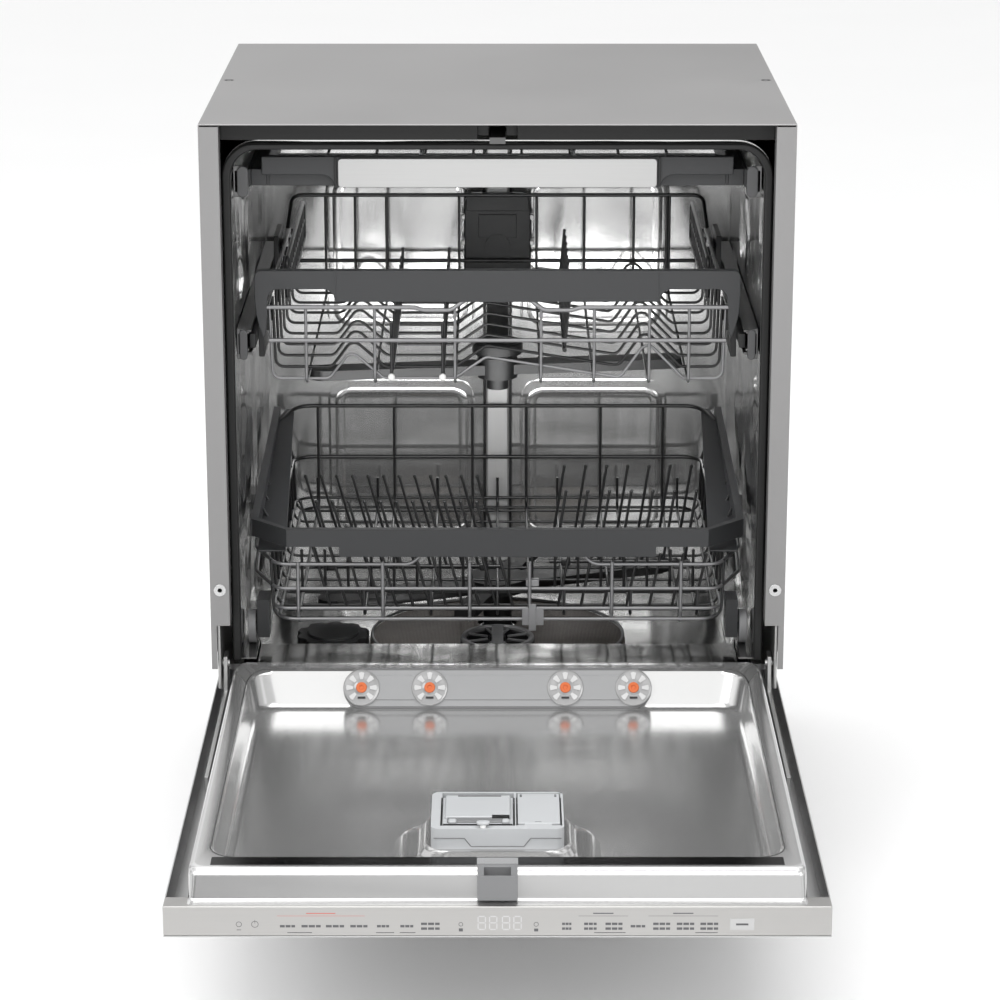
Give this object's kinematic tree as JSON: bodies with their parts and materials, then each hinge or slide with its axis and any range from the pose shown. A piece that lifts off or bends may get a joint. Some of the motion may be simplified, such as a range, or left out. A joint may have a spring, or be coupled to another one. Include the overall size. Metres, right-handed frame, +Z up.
{
  "type": "built in dishwasher",
  "caption": "Built-in dishwasher with fold-down door, cutlery tray, height-adjustable upper rack, lower rack with folding tines, spray arms, filter and dispenser, shown open.",
  "frame": {"origin": "On the floor, under the middle of the plane of the two front flanges", "axes": "+X to the right seen from the front, +Y from the open door towards the wall, +Z up"},
  "size_m": [0.598, 1.1, 0.818],
  "materials": {
    "cabinet_sheet": "satin",
    "top_sheet": "satin",
    "dark_sheet": "satin",
    "stainless": "polished",
    "coated_wire": "satin",
    "dark_plastic": "matte",
    "black_plastic": "matte",
    "pale_plastic": "satin",
    "white_plastic": "satin",
    "silver_trim": "brushed",
    "seal_rubber": "matte",
    "filter_mesh": "fine mesh",
    "spring_steel": "satin"
  },
  "bodies": {
    "cabinet": {"top_panel": "top_sheet", "side_panel_left": "cabinet_sheet", "side_panel_right": "cabinet_sheet", "front_beam": "dark_sheet", "latch_housing": "black_plastic", "rear_panel": "cabinet_sheet", "base_tray": "black_plastic", "levelling_feet": "black_plastic", "hinge_brackets": "cabinet_sheet", "door_springs": "spring_steel", "side_fixing_bushes": "silver_trim", "tub_wrapper": "stainless", "tub_back": "stainless", "tub_floor": "stainless", "door_gasket": "seal_rubber", "roller_guides": "pale_plastic", "sump": "black_plastic", "filter_plate": "filter_mesh", "softener_tank": "white_plastic", "circulation_pump": "dark_plastic", "drain_pump": "dark_plastic", "inlet_valve": "white_plastic", "feed_pipe": "dark_plastic"},
    "latch": {"latch_hook": "silver_trim"},
    "filter": {"filter_cylinder": "dark_plastic"},
    "salt_closure": {"salt_cap": "pale_plastic"},
    "impeller": {"pump_impeller": "white_plastic"},
    "top_sprayer": {"ceiling_sprayer": "pale_plastic"},
    "lower_arm": {"lower_spray_arm": "black_plastic"},
    "cutlery": {"cutlery_tray": "dark_plastic", "cutlery_handle": "dark_plastic", "cutlery_handle_plate": "silver_trim"},
    "upper_rail": {"upper_rails": "silver_trim"},
    "upper_carrier": {"upper_carriers": "pale_plastic"},
    "upper_rack": {"upper_rack_basket": "coated_wire", "upper_rack_handle": "dark_plastic", "upper_spray_pipe": "dark_plastic"},
    "upper_tine_row": {"upper_tines": "coated_wire"},
    "left_shelf": {"cup_shelf_left": "coated_wire"},
    "right_shelf": {"cup_shelf_right": "coated_wire"},
    "upper_arm": {"upper_spray_arm": "dark_plastic"},
    "lower_rack": {"lower_rack_basket": "coated_wire", "lower_rack_handle": "dark_plastic"},
    "front_rollers": {"lower_wheels_front": "pale_plastic"},
    "rear_rollers": {"lower_wheels_rear": "pale_plastic"},
    "tines_left_back": {"lower_tines_left_back": "coated_wire"},
    "tines_left_front": {"lower_tines_left_front": "coated_wire"},
    "tines_right_back": {"lower_tines_right_back": "coated_wire"},
    "tines_right_front": {"lower_tines_right_front": "coated_wire"},
    "door": {"door_outer_panel": "stainless", "inner_door": "stainless", "control_panel": "silver_trim", "door_striker": "black_plastic", "steam_bar": "silver_trim", "steam_nozzles": "dark_plastic", "dispenser_body": "pale_plastic", "hinge_arms": "cabinet_sheet"},
    "detergent_cover": {"detergent_lid": "pale_plastic"},
    "rinse_cover": {"rinse_lid": "pale_plastic"},
    "release_button": {"dispenser_button": "white_plastic"}
  },
  "joints": [
    {"name": "door_hinge", "type": "hinge", "parent": "cabinet", "child": "door", "pos_m": [0, 0.0245, 0.2405], "axis": [1, 0, 0], "range_deg": [-90, 0]},
    {"name": "detergent_lid_hinge", "type": "hinge", "parent": "door", "child": "detergent_cover", "pos_m": [0, -0.3969, 0.2579], "axis": [-1, 0, 0], "range_deg": [0, 85]},
    {"name": "rinse_lid_hinge", "type": "hinge", "parent": "door", "child": "rinse_cover", "pos_m": [0, -0.3969, 0.2579], "axis": [-1, 0, 0], "range_deg": [0, 85]},
    {"name": "release_button_press", "type": "slide", "parent": "door", "child": "release_button", "axis": [0, 0, -1], "range_m": [0, 0.002], "stiffness_N_per_m": 300},
    {"name": "latch_swing", "type": "hinge", "parent": "cabinet", "child": "latch", "pos_m": [0, 0.052, 0.806], "axis": [1, 0, 0], "range_deg": [-5, 0]},
    {"name": "cutlery_slide", "type": "slide", "parent": "cabinet", "child": "cutlery", "axis": [0, -1, 0], "range_m": [0, 0.4]},
    {"name": "upper_rack_slide", "type": "slide", "parent": "cabinet", "child": "upper_carrier", "axis": [0, -1, 0], "range_m": [0, 0.4]},
    {"name": "upper_rail_slide", "type": "slide", "parent": "cabinet", "child": "upper_rail", "axis": [0, -1, 0], "range_m": [0, 0.2]},
    {"name": "upper_rack_lift", "type": "slide", "parent": "upper_carrier", "child": "upper_rack", "axis": [0, 0, 1], "range_m": [0, 0.045]},
    {"name": "upper_tine_fold", "type": "hinge", "parent": "upper_rack", "child": "upper_tine_row", "pos_m": [0.0704, 0, 0.561], "axis": [0, 1, 0], "range_deg": [0, 75]},
    {"name": "left_shelf_fold", "type": "hinge", "parent": "upper_rack", "child": "left_shelf", "pos_m": [-0.2205, 0, 0.612], "axis": [0, 1, 0], "range_deg": [0, 85]},
    {"name": "right_shelf_fold", "type": "hinge", "parent": "upper_rack", "child": "right_shelf", "pos_m": [0.2205, 0, 0.612], "axis": [0, -1, 0], "range_deg": [0, 85]},
    {"name": "upper_spray_spin", "type": "hinge", "parent": "upper_rack", "child": "upper_arm", "pos_m": [0, 0.268, 0.5], "axis": [0, 0, 1], "continuous": true},
    {"name": "ceiling_spray_spin", "type": "hinge", "parent": "cabinet", "child": "top_sprayer", "pos_m": [0, 0.268, 0.78], "axis": [0, 0, 1], "continuous": true},
    {"name": "lower_spray_spin", "type": "hinge", "parent": "cabinet", "child": "lower_arm", "pos_m": [0, 0.268, 0.25], "axis": [0, 0, 1], "continuous": true},
    {"name": "lower_rack_slide", "type": "slide", "parent": "cabinet", "child": "lower_rack", "axis": [0, -1, 0], "range_m": [0, 0.4]},
    {"name": "front_roller_spin", "type": "hinge", "parent": "lower_rack", "child": "front_rollers", "pos_m": [0, 0.088, 0.2605], "axis": [1, 0, 0], "range_deg": [-10, 1290]},
    {"name": "rear_roller_spin", "type": "hinge", "parent": "lower_rack", "child": "rear_rollers", "pos_m": [0, 0.446, 0.2605], "axis": [1, 0, 0], "range_deg": [-10, 1290]},
    {"name": "tines_left_back_fold", "type": "hinge", "parent": "lower_rack", "child": "tines_left_back", "pos_m": [0, 0.31, 0.288], "axis": [-1, 0, 0], "range_deg": [0, 75]},
    {"name": "tines_left_front_fold", "type": "hinge", "parent": "lower_rack", "child": "tines_left_front", "pos_m": [0, 0.21, 0.288], "axis": [-1, 0, 0], "range_deg": [0, 75]},
    {"name": "tines_right_back_fold", "type": "hinge", "parent": "lower_rack", "child": "tines_right_back", "pos_m": [0, 0.328, 0.288], "axis": [-1, 0, 0], "range_deg": [0, 75]},
    {"name": "tines_right_front_fold", "type": "hinge", "parent": "lower_rack", "child": "tines_right_front", "pos_m": [0, 0.228, 0.288], "axis": [-1, 0, 0], "range_deg": [0, 75]},
    {"name": "filter_turn", "type": "hinge", "parent": "cabinet", "child": "filter", "pos_m": [0, 0.178, 0.2], "axis": [0, 0, 1], "range_deg": [0, 90]},
    {"name": "salt_cap_turn", "type": "hinge", "parent": "cabinet", "child": "salt_closure", "pos_m": [-0.18, 0.16, 0.21], "axis": [0, 0, 1], "range_deg": [0, 180]},
    {"name": "impeller_spin", "type": "hinge", "parent": "cabinet", "child": "impeller", "pos_m": [0.11, 0.3, 0.092], "axis": [0, 1, 0], "continuous": true}
  ],
  "couplings": [
    {"joint": "upper_rail_slide", "follows": "upper_rack_slide", "ratio": 0.5},
    {"joint": "front_roller_spin", "follows": "lower_rack_slide", "rad_per_m": 55.556},
    {"joint": "rear_roller_spin", "follows": "lower_rack_slide", "rad_per_m": 55.556}
  ]
}
